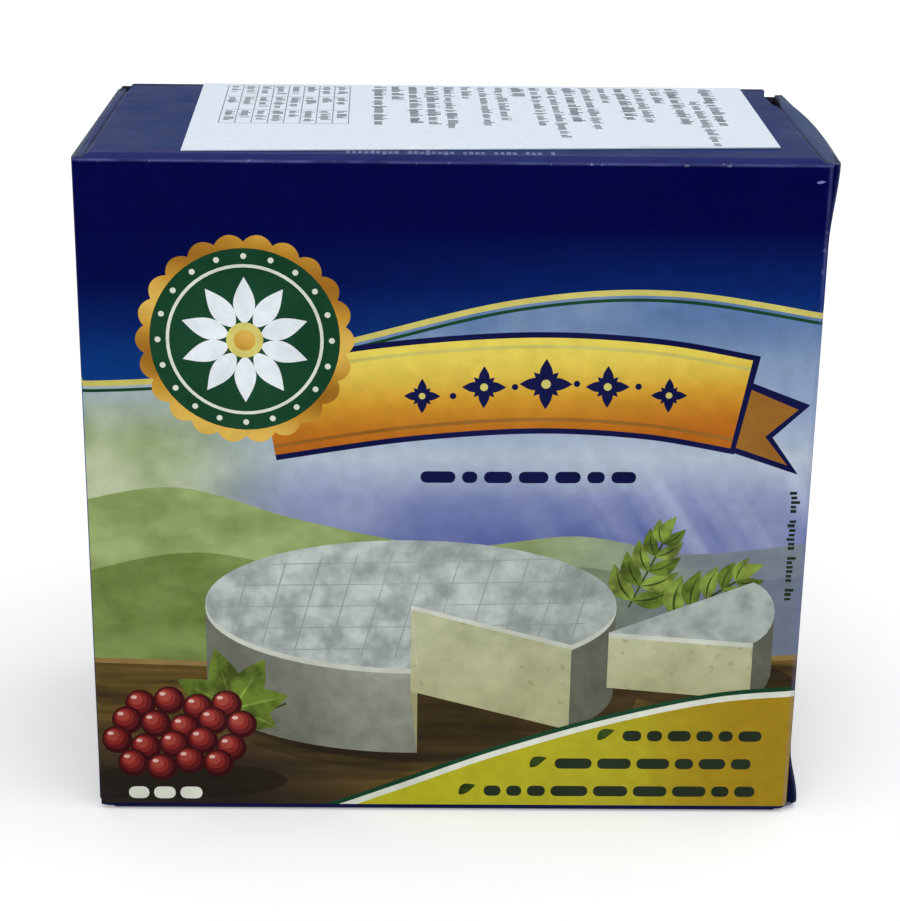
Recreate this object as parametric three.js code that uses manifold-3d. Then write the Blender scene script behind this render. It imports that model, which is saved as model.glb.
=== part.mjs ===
// A shut paperboard cheese carton standing upright, with a white sticker on its top panel.
// Millimetres, +Z up. The origin is the middle of the bottom panel. The front panel faces -Y,
// and the two tucked ends face +X and -X.
import * as THREE from 'three';
import { mergeVertices } from 'three/addons/utils/BufferGeometryUtils.js';
import Module from 'manifold-3d';

const wasm = await Module();
wasm.setup();

// Carton, outside sizes
const WIDTH = 88;
const DEPTH = 42;
const HEIGHT = 86;
const BOARD = 0.5;
const CREASE_RADIUS = 0.8;
const CREASE_STEPS = 6;

// Front and back panels swell a little around the tin, below a flat band at the top
const FRONT_SWELL = 0.5;
const BACK_SWELL = 0.4;
const SWELL_HALF_WIDTH = 40;
const SWELL_TOP = HEIGHT - 9;
const SWELL_ROWS = 9;
const SWELL_COLUMNS = 12;

// Cut edges of the front panel, a hair inside the carton's top and foot
const EDGE_OVERLAP = 0.6;
const EDGE_CHAMFER = 0.25;
const EDGE_TOP = HEIGHT - 0.36;
const EDGE_FOOT = 0.28;
const CORNER_STEPS = 6;

// Ends: the closure panel hinges on the back panel and tucks in behind the front panel
const SLIT = 0.3;
const FOLD_RADIUS = 0.8;
const FOLD_STEPS = 5;
const REST_STANDOFF = 0.3;
const REST_SWELL = 0.3;
const CLOSURE_TOP = HEIGHT - 0.8;
const CLOSURE_FOOT = 0.9;
const CLOSURE_OVERLAP = 1;
const CLOSURE_COLUMNS = 12;
const CLOSURE_TOP_ROWS = 8;
const CLOSURE_FOOT_ROWS = 6;

// Dust flaps: a shallow slope out from the end crease, then a round turn down behind the closure
const GROOVE = 0.3;
const FLAP_BELLY = 0.08;
const FLAP_DROP = 0.25;
const FLAP_RADIUS = 0.6;
const FLAP_ROUND_SHARE = 0.6;
const FLAP_TURN_STEPS = 4;
const FLAP_DEPTH = 4;
const FLAP_OVERLAP = 1.5;
const FLAP_ROWS = 14;

// One record per end. Bows are how far the closure stands out past WIDTH / 2,
// at the front, in the middle and at the back of its top and bottom edges.
const RIGHT_END = {
  side: 1,
  inset: 1.2,
  topBow: [0.85, 2.4, 0.9],
  topReach: 10,
  footBow: [1.6, 1.4, 0.6],
  footReach: 8,
  footCorner: 1.3,
};
const LEFT_END = {
  side: -1,
  inset: 1.4,
  topBow: [0.3, 0.65, 0.2],
  topReach: 9,
  footBow: [0.35, 0.6, 0.3],
  footReach: 6,
  footCorner: 0.35,
};

// Open corner behind the dust flap, at the back of each end. It is cut a little inside the end crease
// at the back, and furthest inside it at the belly. The notch in the back wall beside it begins a
// little further out.
const RIGHT_GAP = { length: 12, width: 1.5, depth: 2.6, notch: 1.15, cut: 0.4, belly: 1.12 };
const LEFT_GAP = { length: 5, width: 0.8, depth: 1.8, notch: 0.45, cut: 0.2, belly: 0.56 };
const GAP_BELLY_AT = 0.45;
const NOTCH_SHIFT = 0.2;
const NOTCH_OVERLAP = 0.1;

// Glue seam along the foot of the back panel
const SEAM_HEIGHT = 1.0;
const SEAM_WIDTH = 0.25;
const SEAM_DEPTH = 0.35;
const SEAM_MARGIN = 2;

// How far every cut starts outside the board
const CLEAR = 1;

// Sticker: plan positions of its edges, and how far it hangs down the back panel
const LABEL_THICKNESS = 0.18;
const LABEL_LIFT = 0.012;
const LABEL_LEFT = [-31.6, -32.9];
const LABEL_RIGHT = [38.6, 39.2];
const LABEL_FRONT = [-19.8, -15.7];
const LABEL_DROP = [6.4, 5.2];
const LABEL_COLUMNS = 12;
const LABEL_ROWS = 4;

const lerp = (a, b, t) => a + (b - a) * t;
const crease = (end) => WIDTH / 2 - end.inset;
const range = (count) => Array.from({ length: count + 1 }, (_, i) => i / count);

// Curve through three values given at t = -1, 0 and 1
function throughThree([front, middle, back], t) {
  return middle + ((back - front) / 2) * t + ((front + back) / 2 - middle) * t * t;
}

// Falls smoothly from 1 at u = 0 to 0 at u = 1
function fall(u) {
  const v = Math.min(Math.max(u, 0), 1);
  return (1 - v) * (1 - v) * (1 + 2 * v);
}

function signedVolume(points, index) {
  let sum = 0;
  for (let i = 0; i < index.length; i += 3) {
    const [a, b, c] = [points[index[i]], points[index[i + 1]], points[index[i + 2]]];
    sum += a.dot(new THREE.Vector3().crossVectors(b, c));
  }
  return sum;
}

// Cap of a solid ring: a fan about its middle
function fanCap(points, start, count) {
  const middle = new THREE.Vector3();
  points.slice(start, start + count).forEach((p) => middle.addScaledVector(p, 1 / count));
  const hub = points.push(middle) - 1;
  return range(count).slice(1).flatMap((_, i) => [hub, start + i, start + ((i + 1) % count)]);
}

// Cap of a sheet's ring, whose second half runs back under its first: a ladder between the two
function ladderCap(points, start, count) {
  return range(count / 2 - 1).slice(1).flatMap((_, i) => {
    const under = start + count - 1 - i;
    return [start + i, start + i + 1, under, start + i + 1, under - 1, under];
  });
}

// Closed skin over a row of equal rings
function loft(rings, cap = fanCap) {
  const count = rings[0].length;
  const points = rings.flat().map((p) => new THREE.Vector3(...p));
  const index = [];
  for (let r = 0; r + 1 < rings.length; r += 1) {
    for (let i = 0; i < count; i += 1) {
      const a = r * count + i;
      const b = r * count + ((i + 1) % count);
      index.push(a, b, b + count, a, b + count, a + count);
    }
  }
  index.push(...cap(points, 0, count).reverse());
  index.push(...cap(points, (rings.length - 1) * count, count));
  if (signedVolume(points, index) < 0) index.reverse();
  const geometry = new THREE.BufferGeometry();
  const flat = points.flatMap((p) => p.toArray());
  geometry.setAttribute('position', new THREE.Float32BufferAttribute(flat, 3));
  geometry.setIndex(index);
  return geometry;
}

function solid(geometry) {
  const bare = geometry.clone();
  bare.deleteAttribute('normal');
  bare.deleteAttribute('uv');
  const merged = mergeVertices(bare, 1e-5);
  const vertProperties = new Float32Array(merged.attributes.position.array);
  const triVerts = new Uint32Array(merged.index.array);
  return new wasm.Manifold(new wasm.Mesh({ numProp: 3, vertProperties, triVerts }));
}

function geometryOf(manifold) {
  const mesh = manifold.getMesh();
  const geometry = new THREE.BufferGeometry();
  geometry.setAttribute('position', new THREE.Float32BufferAttribute(mesh.vertProperties, 3));
  geometry.setIndex(new THREE.Uint32BufferAttribute(mesh.triVerts, 1));
  geometry.computeVertexNormals();
  return geometry;
}

function block(x0, x1, y0, y1, z0, z1) {
  const box = new THREE.BoxGeometry(Math.abs(x1 - x0), y1 - y0, z1 - z0);
  box.translate((x0 + x1) / 2, (y0 + y1) / 2, (z0 + z1) / 2);
  return box;
}

// Prism over a plan outline, standing between two heights
function planPrism(outline, z0, z1) {
  return loft([z0, z1].map((z) => outline.map(([x, y]) => [x, y, z])));
}

function swell(x, z, amount) {
  if (Math.abs(x) >= SWELL_HALF_WIDTH || z <= CREASE_RADIUS || z >= SWELL_TOP) return 0;
  const across = Math.cos((Math.PI * x) / (2 * SWELL_HALF_WIDTH)) ** 2;
  const up = Math.sin((Math.PI * (z - CREASE_RADIUS)) / (SWELL_TOP - CREASE_RADIUS)) ** 2;
  return amount * across * up;
}

// Round the four long creases, from the bottom front crease by way of the front, top and back
function sleeveRing(x, shrink) {
  const ring = [];
  const r = CREASE_RADIUS;
  const heights = range(SWELL_ROWS).map((t) => lerp(r, SWELL_TOP, t));
  const corner = (y, z, from) => {
    range(CREASE_STEPS).forEach((t) => {
      const a = from - (t * Math.PI) / 2;
      ring.push([x, y + (r - shrink) * Math.cos(a), z + (r - shrink) * Math.sin(a)]);
    });
  };
  corner(-DEPTH / 2 + r, r, -Math.PI / 2);
  heights.slice(1).forEach((z) => {
    ring.push([x, -DEPTH / 2 + shrink - swell(x, z, FRONT_SWELL), z]);
  });
  corner(-DEPTH / 2 + r, HEIGHT - r, Math.PI);
  corner(DEPTH / 2 - r, HEIGHT - r, Math.PI / 2);
  heights.slice(1).reverse().forEach((z) => {
    ring.push([x, DEPTH / 2 - shrink + swell(x, z, BACK_SWELL), z]);
  });
  corner(DEPTH / 2 - r, r, 0);
  return ring;
}

// The four wrapped panels, as one filled sleeve with a bevel at each end crease
function sleeve() {
  const left = -crease(LEFT_END);
  const right = crease(RIGHT_END);
  const inner = range(SWELL_COLUMNS).map((t) => lerp(-SWELL_HALF_WIDTH, SWELL_HALF_WIDTH, t));
  const rings = [
    sleeveRing(left, GROOVE),
    sleeveRing(left + GROOVE, 0),
    ...inner.map((x) => sleeveRing(x, 0)),
    sleeveRing(right - GROOVE, 0),
    sleeveRing(right, GROOVE),
  ];
  return loft(rings);
}

// Cut edge of the front panel, which reaches past the end crease of the top panel
function frontEdge(end) {
  const inner = crease(end) - EDGE_OVERLAP;
  const outer = WIDTH / 2;
  const radius = end.footCorner;
  const outline = [[inner, EDGE_FOOT]];
  range(CORNER_STEPS).forEach((t) => {
    const a = -Math.PI / 2 + (t * Math.PI) / 2;
    outline.push([outer - radius + radius * Math.cos(a), EDGE_FOOT + radius + radius * Math.sin(a)]);
  });
  outline.push([outer, EDGE_TOP - EDGE_CHAMFER], [outer - EDGE_CHAMFER, EDGE_TOP], [inner, EDGE_TOP]);
  const ys = [-DEPTH / 2, -DEPTH / 2 + BOARD];
  return loft(ys.map((y) => outline.map(([x, z]) => [end.side * x, y, z])));
}

// How far out from the middle plane the closure's face lies
function closureFace(end, y, z) {
  const t = (2 * y) / DEPTH;
  const rest = REST_STANDOFF + REST_SWELL * (1 - t * t);
  const top = (throughThree(end.topBow, t) - rest) * fall((CLOSURE_TOP - z) / end.topReach);
  const foot = (throughThree(end.footBow, t) - rest) * fall((z - CLOSURE_FOOT) / end.footReach);
  return WIDTH / 2 + rest + top + foot;
}

function closureRing(end, z) {
  const r = FOLD_RADIUS;
  const inner = crease(end) - CLOSURE_OVERLAP;
  const tuck = -DEPTH / 2 + BOARD + SLIT;
  const hinge = DEPTH / 2;
  const ring = [[inner, tuck]];
  const tuckX = closureFace(end, tuck + r, z) - r;
  range(FOLD_STEPS).forEach((t) => {
    const a = (t * Math.PI) / 2;
    ring.push([tuckX + r * Math.sin(a), tuck + r - r * Math.cos(a)]);
  });
  range(CLOSURE_COLUMNS).slice(1, -1).forEach((t) => {
    const y = lerp(tuck + r, hinge - r, t);
    ring.push([closureFace(end, y, z), y]);
  });
  const hingeX = closureFace(end, hinge - r, z) - r;
  range(FOLD_STEPS).forEach((t) => {
    const a = (t * Math.PI) / 2;
    ring.push([hingeX + r * Math.cos(a), hinge - r + r * Math.sin(a)]);
  });
  ring.push([inner, hinge]);
  return ring.map(([x, y]) => [end.side * x, y, z]);
}

function closurePanel(end) {
  const foot = range(CLOSURE_FOOT_ROWS).map((t) => lerp(CLOSURE_FOOT, CLOSURE_FOOT + end.footReach, t));
  const top = range(CLOSURE_TOP_ROWS).map((t) => lerp(CLOSURE_TOP - end.topReach, CLOSURE_TOP, t));
  return loft([...foot, ...top].map((z) => closureRing(end, z)));
}

// Soft fold of a dust flap, from the end crease out to the inside of the closure.
// flip is 1 at the top of the carton and -1 at the foot.
function dustFold(end, flip) {
  const bow = flip > 0 ? end.topBow : end.footBow;
  const start = crease(end);
  const depthOf = (d) => (flip > 0 ? HEIGHT - d : d);
  const inner = start - FLAP_OVERLAP;
  const rings = range(FLAP_ROWS).map((step) => {
    const y = lerp(-DEPTH / 2 + BOARD + SLIT, DEPTH / 2 - BOARD, step);
    const reach = WIDTH / 2 + throughThree(bow, (2 * y) / DEPTH) - BOARD;
    const r = Math.min(FLAP_RADIUS, (reach - start) * FLAP_ROUND_SHARE);
    const profile = [[inner, FLAP_DEPTH], [inner, FLAP_DEPTH / 4], [start, GROOVE]];
    profile.push([lerp(start, reach - r, 0.5), GROOVE + FLAP_BELLY]);
    range(FLAP_TURN_STEPS).forEach((t) => {
      const a = (t * Math.PI) / 2;
      profile.push([reach - r + r * Math.sin(a), GROOVE + FLAP_DROP + r - r * Math.cos(a)]);
    });
    profile.push([reach, FLAP_DEPTH]);
    return profile.map(([x, d]) => [end.side * x, y, depthOf(d)]);
  });
  return loft(rings);
}

// Tapering opening at the back corner of an end, seen from above
function cornerGap(end, gap) {
  const x = crease(end);
  const back = DEPTH / 2 - BOARD;
  const outline = [
    [x - gap.cut, back],
    [x + gap.width, back],
    [x, back - gap.length],
    [x - gap.belly, back - GAP_BELLY_AT * gap.length],
  ];
  const placed = outline.map(([px, py]) => [end.side * px, py]);
  return planPrism(placed, HEIGHT - gap.depth, HEIGHT + CLEAR);
}

// Lowered top of the back wall beside that opening
function cornerNotch(end, gap) {
  const inner = crease(end) - gap.cut + NOTCH_SHIFT;
  const outer = crease(end) + gap.width;
  const span = [end.side * inner, end.side * outer].sort((a, b) => a - b);
  const front = DEPTH / 2 - BOARD - NOTCH_OVERLAP;
  return block(...span, front, DEPTH / 2 + CLEAR, HEIGHT - gap.notch, HEIGHT + CLEAR);
}

function glueSeam() {
  const half = WIDTH / 2 - SEAM_MARGIN;
  const inner = DEPTH / 2 - SEAM_DEPTH;
  return block(-half, half, inner, DEPTH / 2 + CLEAR, SEAM_HEIGHT, SEAM_HEIGHT + SEAM_WIDTH);
}

function carton() {
  const added = [RIGHT_END, LEFT_END].flatMap((end) => [
    frontEdge(end),
    closurePanel(end),
    dustFold(end, 1),
    dustFold(end, -1),
  ]);
  const cut = [
    cornerGap(RIGHT_END, RIGHT_GAP),
    cornerGap(LEFT_END, LEFT_GAP),
    cornerNotch(RIGHT_END, RIGHT_GAP),
    cornerNotch(LEFT_END, LEFT_GAP),
    glueSeam(),
  ];
  const whole = added.reduce((sum, piece) => sum.add(solid(piece)), solid(sleeve()));
  return geometryOf(cut.reduce((rest, piece) => rest.subtract(solid(piece)), whole));
}

// Point on the sticker's path over the top panel, round the back crease and down the back
function labelPoint(y0, s, offset) {
  const r = CREASE_RADIUS;
  const flat = DEPTH / 2 - r - y0;
  const arc = (r * Math.PI) / 2;
  if (s <= flat) return [y0 + s, HEIGHT + offset];
  if (s >= flat + arc) return [DEPTH / 2 + offset, HEIGHT - r - (s - flat - arc)];
  const a = (s - flat) / r;
  return [DEPTH / 2 - r + (r + offset) * Math.sin(a), HEIGHT - r + (r + offset) * Math.cos(a)];
}

function labelStations(y0, drop) {
  const flat = DEPTH / 2 - CREASE_RADIUS - y0;
  const arc = (CREASE_RADIUS * Math.PI) / 2;
  const onTop = range(LABEL_ROWS).map((t) => t * flat);
  const onCrease = range(CREASE_STEPS).slice(1).map((t) => flat + t * arc);
  return [...onTop, ...onCrease, flat + arc + drop / 2, flat + arc + drop];
}

function label() {
  const rings = range(LABEL_COLUMNS).map((u) => {
    const y0 = lerp(...LABEL_FRONT, u);
    const path = labelStations(y0, lerp(...LABEL_DROP, u));
    const total = path[path.length - 1];
    const place = (s, offset) => {
      const left = lerp(...LABEL_LEFT, s / total);
      const right = lerp(...LABEL_RIGHT, s / total);
      return [lerp(left, right, u), ...labelPoint(y0, s, offset)];
    };
    const outer = path.map((s) => place(s, LABEL_LIFT + LABEL_THICKNESS));
    const inner = path.map((s) => place(s, LABEL_LIFT)).reverse();
    return [...outer, ...inner];
  });
  return loft(rings, ladderCap);
}

const printedBoard = new THREE.MeshStandardMaterial({
  color: 0x2c4272,
  roughness: 0.38,
  metalness: 0,
});
const labelPaper = new THREE.MeshStandardMaterial({
  color: 0xe9eef4,
  roughness: 0.6,
  metalness: 0,
});

const part = new THREE.Group();
const pieces = [
  ['carton', carton(), printedBoard],
  ['label', label(), labelPaper],
];
for (const [name, geometry, material] of pieces) {
  const mesh = new THREE.Mesh(geometry, material);
  mesh.name = name;
  part.add(mesh);
}

export default part;
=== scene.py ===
import random
from math import cos, hypot, pi, radians, sin, sqrt
from types import SimpleNamespace

import bpy
from mathutils import Matrix, Vector
from mathutils.geometry import delaunay_2d_cdt


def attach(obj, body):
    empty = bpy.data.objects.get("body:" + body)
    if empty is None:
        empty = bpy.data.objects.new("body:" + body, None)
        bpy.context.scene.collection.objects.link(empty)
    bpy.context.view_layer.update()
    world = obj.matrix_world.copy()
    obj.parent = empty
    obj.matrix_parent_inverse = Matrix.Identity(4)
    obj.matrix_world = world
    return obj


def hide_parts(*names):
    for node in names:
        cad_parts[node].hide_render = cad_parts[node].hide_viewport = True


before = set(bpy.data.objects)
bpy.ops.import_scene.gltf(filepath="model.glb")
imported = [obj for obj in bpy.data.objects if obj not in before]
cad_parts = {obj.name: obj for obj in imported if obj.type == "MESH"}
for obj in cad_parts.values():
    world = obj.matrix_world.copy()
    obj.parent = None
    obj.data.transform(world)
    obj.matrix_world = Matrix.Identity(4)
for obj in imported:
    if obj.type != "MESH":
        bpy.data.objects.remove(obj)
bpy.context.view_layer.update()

# A shut paperboard cheese carton with a paper sticker on top. Sizes are in millimetres.
# The board is drawn as a flat blank and then folded: x runs along the carton, s round its sleeve.
MM = 0.001
WIDTH, DEPTH, HEIGHT = 88.0, 42.0, 86.0
BOARD = 0.5
SHEET = 0.45
FOLD = 0.8
TURN = FOLD * pi / 2
GROOVE = 0.3
GROOVE_RUN = 0.5
SLIT = 0.3

# The front panel's cut sides curl in over a narrow strip, and its ends reach a little round the folds
CURL, CURL_STRIP = 0.16, 1.0
FOOT_REACH, HEAD_REACH, HEAD_CORNER = 0.55, 0.35, 0.25

# A dust flap drops a little from its crease, sags on the way and rounds over at its edge
FLAP_DROP, FLAP_SAG = 0.25, 0.1
FLAP_RADIUS, FLAP_ROUND_SHARE = 0.6, 0.6
FLAP_CLEAR, FLAP_CUT = 0.03, 0.05
WING_CHAMFER, WING_TAPER = 1.5, 2

# Panels bulge only where their outward direction is this close to level
LEVEL = 0.99
FRONT_SWELL, BACK_SWELL = 0.48, 0.38
SWELL_HALF, SWELL_TOP = 40.0, HEIGHT - 9

REST_STANDOFF, REST_SWELL = 0.3, 0.3
CLOSURE_TOP, CLOSURE_FOOT = HEIGHT - 0.8, 0.9
RIGHT = SimpleNamespace(
    side=1, crease=WIDTH / 2 - 1.2, corner=1.3, gap=(12.0, 1.6), cut=0.4, notch=1.15, wing=7.0,
    top=(0.85, 2.4, 0.9), top_reach=10, foot=(1.6, 1.4, 0.6), foot_reach=8,
)
LEFT = SimpleNamespace(
    side=-1, crease=WIDTH / 2 - 1.4, corner=0.35, gap=(5.0, 0.9), cut=0.2, notch=0.45, wing=6.0,
    top=(0.3, 0.64, 0.2), top_reach=9, foot=(0.35, 0.6, 0.3), foot_reach=6,
)
RIGHT_X, LEFT_X = RIGHT.crease, -LEFT.crease

# Runs of the sleeve: up inside the back panel, then bottom, front, top and back
GLUE, GLUE_TAPER = 5.2, 4
SEAM = 1.0
GLUE_GAP = 0.02
INNER_BACK = DEPTH / 2 - BOARD - GLUE_GAP
BOTTOM_RUN = INNER_BACK + DEPTH / 2 - 2 * FOLD
FRONT_RUN = HEIGHT - 2 * FOLD
TOP_RUN = DEPTH - 2 * FOLD
BACK_RUN = HEIGHT - FOLD - SEAM
RUNS = [(GLUE, 0), (TURN, 1), (BOTTOM_RUN, 0), (TURN, 1), (FRONT_RUN, 0),
        (TURN, 1), (TOP_RUN, 0), (TURN, 1), (BACK_RUN, 0)]
S_BOTTOM = GLUE + TURN
S_FRONT = S_BOTTOM + BOTTOM_RUN + TURN
S_TOP = S_FRONT + FRONT_RUN + TURN
S_BACK = S_TOP + TOP_RUN + TURN
S_END = S_BACK + BACK_RUN
LIP = 1.0

# Runs of an end sheet: off the back panel, round the hinge, over the face and into the slit
HINGE_RUN = 1.8
FACE_RUN = DEPTH - BOARD - SLIT - 2 * FOLD
T_FACE = HINGE_RUN + TURN
T_TUCK = T_FACE + FACE_RUN + TURN
TUCK_RUN, TUCK_TAPER = 5.0, 2.5

LABEL_LENGTH = 71.0
LABEL_THICK = 0.12
LABEL_LIFT = 0.02
LABEL_LEFT, LABEL_RIGHT = (-31.6, -32.9), (38.6, 39.2)
LABEL_FRONT, LABEL_DROP = (-19.8, -15.7), (6.4, 5.2)
LABEL_RIM, LABEL_RISE = 1.6, 0.04
RIPPLE_ALONG, RIPPLE_ACROSS, RIPPLE_SHIFT = 0.55, 0.31, 1.3

# Spacing of the points that let each sheet bend
PANEL_GRID, FLAP_GRID, END_GRID, LABEL_GRID = 3.2, 5, 2.6, 1.6

# Camera, fitted to the photo's corners. The lens looks at a point a little above the picture's middle.
IMAGE_WIDTH, IMAGE_HEIGHT = 900, 921
SENSOR = 36.0
FOCAL_PIXELS = 2054.0
LENS_CENTRE = (430.0, 360.0)
CAMERA_PLACE = (-5.35, -252.68, 139.60)
CAMERA_YAW, CAMERA_PITCH, CAMERA_ROLL = 0.704, 18.700, 0.662


def linked(name, data):
    """New object in the scene."""
    ob = bpy.data.objects.new(name, data)
    bpy.context.scene.collection.objects.link(ob)
    return ob


def lerp(a, b, t):
    return a + (b - a) * t


def smooth(t):
    t = min(max(t, 0.0), 1.0)
    return t * t * (3 - 2 * t)


def through_three(values, t):
    front, middle, back = values
    return middle + (back - front) / 2 * t + ((front + back) / 2 - middle) * t * t


def steps(a, b, count):
    return [lerp(a, b, i / count) for i in range(count + 1)]


# Folding, from the flat blank to the carton

def sleeve_point(s):
    """Place and outward direction on the sleeve's outline, as y, z, out_y, out_z."""
    y, z, heading = INNER_BACK, FOLD + GLUE, -pi / 2
    for length, turns in RUNS:
        part = min(s, length)
        if turns:
            centre_y, centre_z = y + FOLD * sin(heading), z - FOLD * cos(heading)
            heading -= part / FOLD
            y, z = centre_y - FOLD * sin(heading), centre_z + FOLD * cos(heading)
        else:
            y, z = y + part * cos(heading), z + part * sin(heading)
        s -= part
        if s <= 1e-9:
            break
    return y, z, -sin(heading), cos(heading)


def swell(x, z):
    if abs(x) >= SWELL_HALF or z <= FOLD or z >= SWELL_TOP:
        return 0.0
    across = cos(pi * x / (2 * SWELL_HALF)) ** 2
    up = sin(pi * (z - FOLD) / (SWELL_TOP - FOLD)) ** 2
    return across * up


def end_of(x):
    return RIGHT if x > 0 else LEFT


def end_dip(x):
    """How far the wrapped panels sink towards their end creases."""
    return GROOVE * smooth(1 + (abs(x) - end_of(x).crease) / GROOVE_RUN)


def closure_face(end, y, z):
    """How far out from the middle plane a closure's outer face lies."""
    t = 2 * y / DEPTH
    rest = REST_STANDOFF + REST_SWELL * (1 - t * t)
    top = (through_three(end.top, t) - rest) * smooth(1 - (CLOSURE_TOP - z) / end.top_reach)
    foot = (through_three(end.foot, t) - rest) * smooth(1 - (z - CLOSURE_FOOT) / end.foot_reach)
    return WIDTH / 2 + rest + top + foot


def fold_wrapped(x, s, front_swell=0.0, back_swell=0.0, curl=0.0):
    """Place on the sleeve, sunk at its end creases, with its swollen panels and curled side edges."""
    y, z, out_y, out_z = sleeve_point(s)
    inward = end_dip(x) * out_z * out_z
    inward -= front_swell * swell(x, z) if out_y < -LEVEL else 0.0
    inward -= back_swell * swell(x, z) if out_y > LEVEL else 0.0
    inward += curl * max(0.0, abs(x) - (WIDTH / 2 - CURL_STRIP))
    return x, y - out_y * inward, z - out_z * inward


def fold_front(x, s):
    return fold_wrapped(x, s, front_swell=FRONT_SWELL, curl=CURL)


def fold_back(x, s):
    return fold_wrapped(x, s, back_swell=BACK_SWELL)


def dust_flap(end, bow, y, t, height_of):
    """Place on a dust flap, t past its end crease: outward, then round and down inside."""
    reach = WIDTH / 2 + through_three(bow, 2 * y / DEPTH) - BOARD
    r = min(FLAP_RADIUS, (reach - end.crease) * FLAP_ROUND_SHARE)
    run = reach - r - end.crease
    if t < run:
        u = t / run
        return end.crease + t, GROOVE + FLAP_DROP * u - FLAP_SAG * sin(pi * u)
    a = min((t - run) / r, pi / 2)
    depth = GROOVE + FLAP_DROP + r - r * cos(a) + max(0.0, t - run - r * pi / 2)
    inside = closure_face(end, y, height_of(depth)) - BOARD - FLAP_CLEAR
    return min(reach - r + r * sin(a), inside), depth


def fold_panel(x, s, upward=True):
    """Place on the top or bottom panel, or on one of its dust flaps."""
    end = end_of(x)
    t = abs(x) - end.crease
    if t <= 0:
        return fold_wrapped(x, s)
    y = sleeve_point(s)[0]
    bow = end.top if upward else end.foot
    height_of = (lambda d: HEIGHT - d) if upward else (lambda d: d)
    out, depth = dust_flap(end, bow, y, t, height_of)
    return end.side * out, y, height_of(depth)


def end_folder(end):
    hinge_y, tuck_y = DEPTH / 2, -DEPTH / 2 + BOARD + SLIT

    def fold(t, z):
        if t < T_FACE:
            turn_x = closure_face(end, hinge_y - FOLD, z) - FOLD
            a = max(0.0, t - HINGE_RUN) / FOLD
            start = lerp(end.crease - LIP, turn_x, min(t / HINGE_RUN, 1.0))
            x, y = start + FOLD * sin(a), hinge_y - FOLD + FOLD * cos(a)
        elif t < T_FACE + FACE_RUN:
            y = hinge_y - FOLD - (t - T_FACE)
            x = closure_face(end, y, z)
        else:
            turn_x = closure_face(end, tuck_y + FOLD, z) - FOLD
            a = min((t - T_FACE - FACE_RUN) / FOLD, pi / 2)
            x = turn_x + FOLD * cos(a) - max(0.0, t - T_TUCK)
            y = tuck_y + FOLD - FOLD * sin(a)
        return end.side * x, y, z

    return fold


def label_wave(a, s, total):
    """The sticker's rim stands a hair off the board here and there."""
    rim = min(a, LABEL_LENGTH - a, s, total - s)
    wave = 0.5 + 0.5 * sin(a * RIPPLE_ALONG + RIPPLE_SHIFT * sin(s * RIPPLE_ACROSS))
    return LABEL_RISE * wave * smooth(1 - rim / LABEL_RIM)


def fold_label(a, b):
    """Sticker: a along its length, b back from the crease, negative on the top panel."""
    u = a / LABEL_LENGTH
    flat = DEPTH / 2 - FOLD - lerp(*LABEL_FRONT, u)
    s = b + flat
    total = flat + TURN + lerp(*LABEL_DROP, u)
    x = lerp(lerp(*LABEL_LEFT, s / total), lerp(*LABEL_RIGHT, s / total), u)
    out = LABEL_LIFT + LABEL_THICK + label_wave(a, s, total)
    if b >= TURN:
        return x, DEPTH / 2 + out, HEIGHT - FOLD - (b - TURN)
    angle = max(b, 0.0) / FOLD
    y = DEPTH / 2 - FOLD + min(b, 0.0)
    return x, y + (FOLD + out) * sin(angle), HEIGHT - FOLD + (FOLD + out) * cos(angle)


# Flat shapes for the print

def rect(x0, y0, x1, y1):
    return [(x0, y0), (x1, y0), (x1, y1), (x0, y1)]


def arc(cx, cy, r, start, end, count=6):
    turns = [radians(a) for a in steps(start, end, count)]
    return [(cx + r * cos(a), cy + r * sin(a)) for a in turns]


def rounded(x0, y0, x1, y1, r, count=6):
    return (arc(x1 - r, y1 - r, r, 0, 90, count) + arc(x0 + r, y1 - r, r, 90, 180, count)
            + arc(x0 + r, y0 + r, r, 180, 270, count) + arc(x1 - r, y0 + r, r, 270, 360, count))


def oval(cx, cy, rx, ry, count=56):
    angles = [2 * pi * i / count for i in range(count)]
    return [(cx + rx * cos(a), cy + ry * sin(a)) for a in angles]


def scallop(cx, cy, r, depth, lobes, per_lobe=10):
    points = []
    for i in range(lobes * per_lobe):
        a = 2 * pi * i / (lobes * per_lobe)
        reach = r - depth + depth * abs(cos(lobes * a / 2)) ** 0.8
        points.append((cx + reach * cos(a), cy + reach * sin(a)))
    return points


def leaf(x, y, length, width, degrees, bend=0.12):
    """Pointed leaf from its stalk at (x, y)."""
    turn = radians(degrees)
    edge = steps(0, 1, 12)
    middle = [bend * length * sin(pi * t) for t in edge]
    half = [width / 2 * sin(pi * t ** 0.8) for t in edge]
    upper = [(length * t, m + h) for t, m, h in zip(edge, middle, half)]
    lower = [(length * t, m - h) for t, m, h in zip(edge, middle, half)]
    return [
        (x + px * cos(turn) - py * sin(turn), y + px * sin(turn) + py * cos(turn))
        for px, py in upper + lower[-2:0:-1]
    ]


def curve_through(points, count=48):
    """Smooth line through a few points."""
    line = []
    last = len(points) - 1
    for i in range(count + 1):
        u = i / count * last
        k = min(int(u), last - 1)
        t = u - k
        a, b, c, d = (Vector(points[min(max(k + j, 0), last)]) for j in (-1, 0, 1, 2))
        spot = 0.5 * (2 * b + (c - a) * t + (2 * a - 5 * b + 4 * c - d) * t * t
                      + (3 * b - a - 3 * c + d) * t ** 3)
        line.append((spot.x, spot.y))
    return line


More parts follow.
